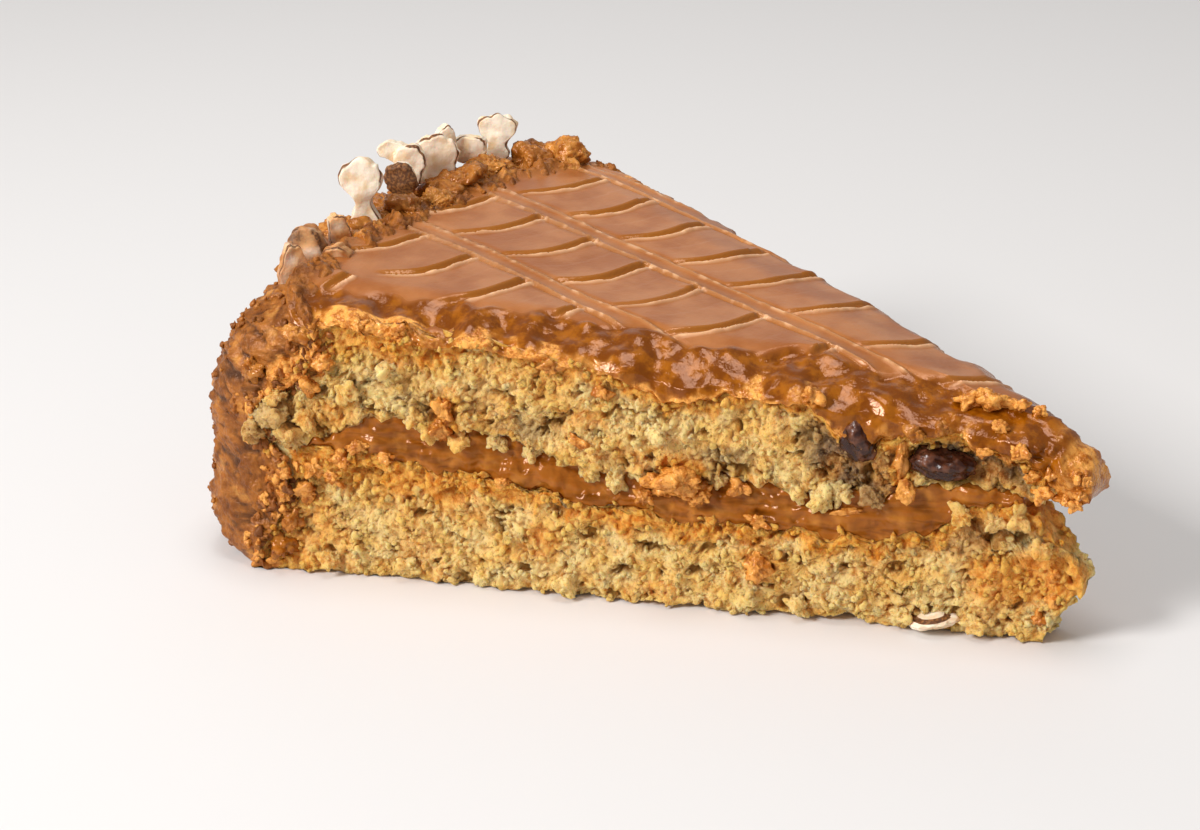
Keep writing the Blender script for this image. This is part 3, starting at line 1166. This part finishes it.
def addSeam(heap, options):
    draw = random.Random(options["seed"])
    for index in range(options["count"]):
        height = draw.uniform(0.8, 36)
        distance = readLine(spongeEdge, height) + draw.uniform(-2.2, 4.2)
        size = draw.uniform(*options["sizes"])
        spot = onSurface(distance, height, -0.12 * size)
        if index % 3 == 0:
            spot.y = -spot.y
        shade = draw.random()
        values = {"crust": 0.7, "stain": 0.85 * (shade > 0.55), "pore": 0.9 * (shade < 0.2)}
        turn = Matrix.Rotation(draw.uniform(0, 3), 4, "Y") @ Matrix.Rotation(draw.uniform(0, 3), 4, "X")
        dims = (size, size * draw.uniform(0.5, 0.9), size * draw.uniform(0.6, 1.0))
        heap.add(Matrix.Translation(spot) @ turn, dims, index + 60, 3, values, 0.9)


def buildAmber():
    heap = LumpHeap(caramelValues)
    addSeam(heap, seamLumps)
    for index, (distance, height, out, wide, tall, deep, turn, share) in enumerate(amberLumps):
        spot = onSurface(distance, height, out)
        spin = Matrix.Rotation(cakeSlice["halfAngle"], 4, "Z") @ turnBy(turn, "Y")
        values = {"stain": share, "wet": 1.0 - 0.5 * share}
        heap.add(Matrix.Translation(spot) @ spin, (wide, deep, tall), index + 3, 4, values, 0.75)
    return finishPiece("amberLumps", heap.joined(), caramel, None)


amber = buildAmber()
print("amber lumps made:", len(amber.data.polygons))

# Clumps of torn crumb that hang over the filling and the side: distance, height, out, size, soaked, grey
crumbClumps = (
    (111.4, 23.6, 0.6, 5.2, 0.0, 0.5), (108.6, 21.2, 0.6, 4.0, 0.2, 0.4),
    (114.2, 21.4, 0.6, 3.6, 0.1, 0.6), (110.6, 26.4, 0.5, 3.4, 0.3, 0.3),
    (106.4, 23.4, 0.5, 3.6, 0.3, 0.2), (88.6, 22.8, 0.6, 3.2, 0.5, 0.0),
    (90.6, 24.6, 0.5, 2.8, 0.2, 0.1), (84.4, 21.6, 0.6, 2.6, 0.6, 0.0),
    (79.6, 21.8, 0.5, 2.8, 0.1, 0.2), (74.6, 20.6, 0.5, 2.8, 0.1, 0.1),
    (70.2, 19.6, 0.6, 2.6, 0.1, 0.1), (66.6, 18.4, 0.6, 3.4, 0.0, 0.1),
    (62.8, 17.8, 0.6, 3.0, 0.0, 0.1), (60.0, 18.8, 0.5, 2.6, 0.1, 0.0),
    (49.0, 18.6, 0.5, 2.6, 0.2, 0.2), (38.6, 18.4, 0.5, 3.2, 0.1, 0.0),
    (35.0, 17.6, 0.7, 3.8, 0.0, 0.0), (32.6, 18.6, 0.6, 3.0, 0.0, 0.2),
    (28.0, 18.6, 0.5, 2.8, 0.1, 0.8), (9.4, 17.6, 0.6, 3.0, 0.4, 0.0), (12.6, 16.6, 0.6, 2.6, 0.2, 0.2),
    (6.4, 13.8, 0.5, 2.8, 0.5, 0.0), (16.6, 17.2, 0.5, 2.6, 0.5, 0.0), (98.6, 13.0, 0.5, 3.0, 0.1, 0.0),
    (45.6, 2.2, 0.4, 3.2, 0.0, 0.0), (38.0, 1.8, 0.4, 3.0, 0.1, 0.0), (35.4, 3.2, 0.4, 2.8, 0.3, 0.0),
    (24.4, 2.0, 0.4, 3.0, 0.1, 0.0), (14.6, 1.8, 0.4, 2.8, 0.2, 0.0), (70.0, 1.8, 0.4, 2.8, 0.0, 0.0),
    (82.0, 1.6, 0.4, 3.2, 0.0, 0.0), (93.0, 1.8, 0.4, 3.0, 0.1, 0.0), (104.6, 2.0, 0.4, 3.0, 0.4, 0.0),
    (100.0, 28.0, 0.5, 2.8, 0.1, 0.1), (94.0, 31.0, 0.5, 2.8, 0.0, 0.0),
    (57.0, 25.6, 0.5, 2.8, 0.0, 0.0),
)


def buildClumps():
    heap = LumpHeap(crumbValues)
    for index, (distance, height, out, size, soaked, grey) in enumerate(crumbClumps):
        turn = Matrix.Rotation(index * 0.9, 4, "Y") @ Matrix.Rotation(index * 1.7, 4, "X")
        place = Matrix.Translation(onSurface(distance, height, out)) @ turn
        values = {"stain": soaked, "grey": grey}
        heap.add(place, (size, size * 0.72, size * 0.84), index + 5, 4, values, 0.7)
    return finishPiece("crumbClumps", heap.joined(), crumb, None)


clumpsOfCrumb = buildClumps()
print("clumps of crumb made:", len(clumpsOfCrumb.data.polygons))

# Loose crumbs still hanging on the cut faces, and coated grains on the side and the rim
looseCrumbs = {"count": 2000, "sizes": (0.45, 1.35), "seed": 11, "overIcing": 0.7, "overSide": 3.5}
coatedGrains = {"count": 520, "sizes": (0.5, 1.2), "seed": 23}


def scatterLump(heap, found, size, draw, values):
    place, normal, _, _ = found
    angle = draw.uniform(0, 6.28)
    axis = Vector([draw.gauss(0, 1) for _ in range(3)]).normalized()
    turn = Matrix.Rotation(angle, 4, axis)
    matrix = Matrix.Translation(place + normal * size * draw.uniform(0.05, 0.3)) @ turn
    dims = [size * draw.uniform(0.65, 1.25) for _ in range(3)]
    heap.add(matrix, dims, draw.uniform(0, 90), 2, values, 0.9)


def buildCrumbs(options):
    draw = random.Random(options["seed"])
    heap = LumpHeap(crumbValues)
    made = 0
    half = cakeSlice["halfAngle"]
    while made < options["count"]:
        farSide = draw.random() < 0.3
        turn = -1 if farSide else 1
        distance, height = 3 + 111 * draw.random(), 0.3 + 36 * draw.random()
        start = onCut(distance, height, -15)
        start.y *= turn
        found = meetSurface(start, Vector((-math.sin(half), turn * math.cos(half), 0)))
        if found is None:
            continue
        size = draw.uniform(*options["sizes"]) * (0.6 + 0.4 * draw.random())
        where = ("lower", "upper", "filling", "upper", "lower")[found[2]]
        radius, across = toPolar(found[0].x, found[0].y)
        across = clamp(across)
        if found[2] == 2 and (height > fillingLow(radius, across) + 0.7 or draw.random() < 0.6):
            continue
        if found[2] == 3 and height > icingLow(radius, across) + options["overIcing"] * draw.random():
            continue
        if found[2] == 4 and radius > spongeOuter(across, height) + options["overSide"] * draw.random():
            continue
        low, high = layerSpan(where, radius, across)
        if found[2] > 1:
            stain = draw.uniform(0.75, 1.0)
        else:
            stain = crumbStain(where, radius, across, height, low, high)
        grey = patchShare(greyPatches, radius, height) if across < 0 else 0.0
        scatterLump(heap, found, size, draw, {"stain": stain, "grey": grey})
        made += 1
    return finishPiece("looseCrumbs", heap.joined(), crumb, None)


def buildGrains(options):
    draw = random.Random(options["seed"])
    heap = LumpHeap(caramelValues)
    made = 0
    while made < options["count"]:
        across = draw.uniform(-0.98, 0.98)
        height = 0.6 + 45 * draw.random()
        x, y = fromPolar(150, across)
        start = Vector((x, y, height))
        direction = Vector((cakeSlice["apexX"] - x, -y, 0)).normalized()
        if height > 41:  # on the rim they fall from above
            x, y = fromPolar(draw.uniform(105.5, 119), across)
            start, direction = Vector((x, y, 70)), Vector((0, 0, -1))
        found = meetSurface(start, direction)
        if found is None or found[2] < 3:
            continue
        size = draw.uniform(*options["sizes"]) * (0.5 + 0.5 * draw.random())
        shade = draw.random()
        values = {"crust": 1.0, "stain": 0.3 * (shade > 0.8), "pore": 0.35 * (shade < 0.2)}
        scatterLump(heap, found, size, draw, values)
        made += 1
    return finishPiece("coatedGrains", heap.joined(), caramel, None)


crumbs = buildCrumbs(looseCrumbs)
grains = buildGrains(coatedGrains)
print("crumbs and grains made:", len(crumbs.data.polygons), len(grains.data.polygons))

# Floor, light and camera
stageLook = {
    "floor": "#E4E1DF",
    "floorUnder": 0.0002,  # the floor lies this far under the slice
    "world": 0.34,
    "softboxes": (  # name, place, size, power
        ("overheadSoftbox", (0.0, -0.02, 0.62), 0.25, 1.3),
        ("behindSoftbox", (-0.5, 0.68, 0.42), 0.7, 0.6),
        ("keySoftbox", (-0.35, -0.75, 0.6), 0.3, 9.1),
    ),
    "aim": (0, 0, 0.02),
}


def buildStage():
    sheet = bmesh.new()
    under = Matrix.Translation((0, 0, -stageLook["floorUnder"]))
    bmesh.ops.create_grid(sheet, x_segments=1, y_segments=1, size=4.0, matrix=under)
    mesh = bpy.data.meshes.new("floor")
    sheet.to_mesh(mesh)
    sheet.free()
    # Painted board with a matt coat: pale and even, with hardly any shine
    values = {"Roughness": 0.9, "Specular IOR Level": 0.1, "Base Color": linear(stageLook["floor"])}
    mesh.materials.append(startMaterial("paintedBoardMatt", values)[0])
    floor = addObject("floor", mesh)
    world = bpy.data.worlds.new("studio")
    world.use_nodes = True
    world.node_tree.nodes["Background"].inputs["Color"].default_value = (1.0, 1.0, 1.0, 1.0)
    world.node_tree.nodes["Background"].inputs["Strength"].default_value = stageLook["world"]
    bpy.context.scene.world = world


def addSoftbox(name, place, size, power):
    light = bpy.data.lights.new(name, "AREA")
    light.size = size
    light.energy = power
    holder = addObject(name, light)
    holder.location = place
    holder.rotation_euler = (Vector(stageLook["aim"]) - Vector(place)).to_track_quat("-Z", "Y").to_euler()


photoCamera = {
    "azimuth": 36.1, "elevation": 22.92, "roll": -1.957, "distance": 0.3863,
    "target": (-0.0385, 0.0296, 0.0), "lens": 72.0,
}


def addCamera(view):
    azimuth, elevation = math.radians(view["azimuth"]), math.radians(view["elevation"])
    level = math.cos(elevation)
    look = Vector((-math.sin(azimuth) * level, math.cos(azimuth) * level, -math.sin(elevation)))
    data = bpy.data.cameras.new("camera")
    data.lens = view["lens"]
    data.sensor_width = 36.0
    data.clip_start = 0.01
    holder = addObject("camera", data)
    turned = look.to_track_quat("-Z", "Y").to_matrix().to_4x4() @ turnBy(view["roll"], "Z")
    holder.matrix_world = Matrix.Translation(Vector(view["target"]) - look * view["distance"]) @ turned
    bpy.context.scene.camera = holder


buildStage()
for softbox in stageLook["softboxes"]:
    addSoftbox(*softbox)
addCamera(photoCamera)
bpy.context.scene.view_settings.view_transform = "Standard"
print("stage, light and camera set")

print("size written")
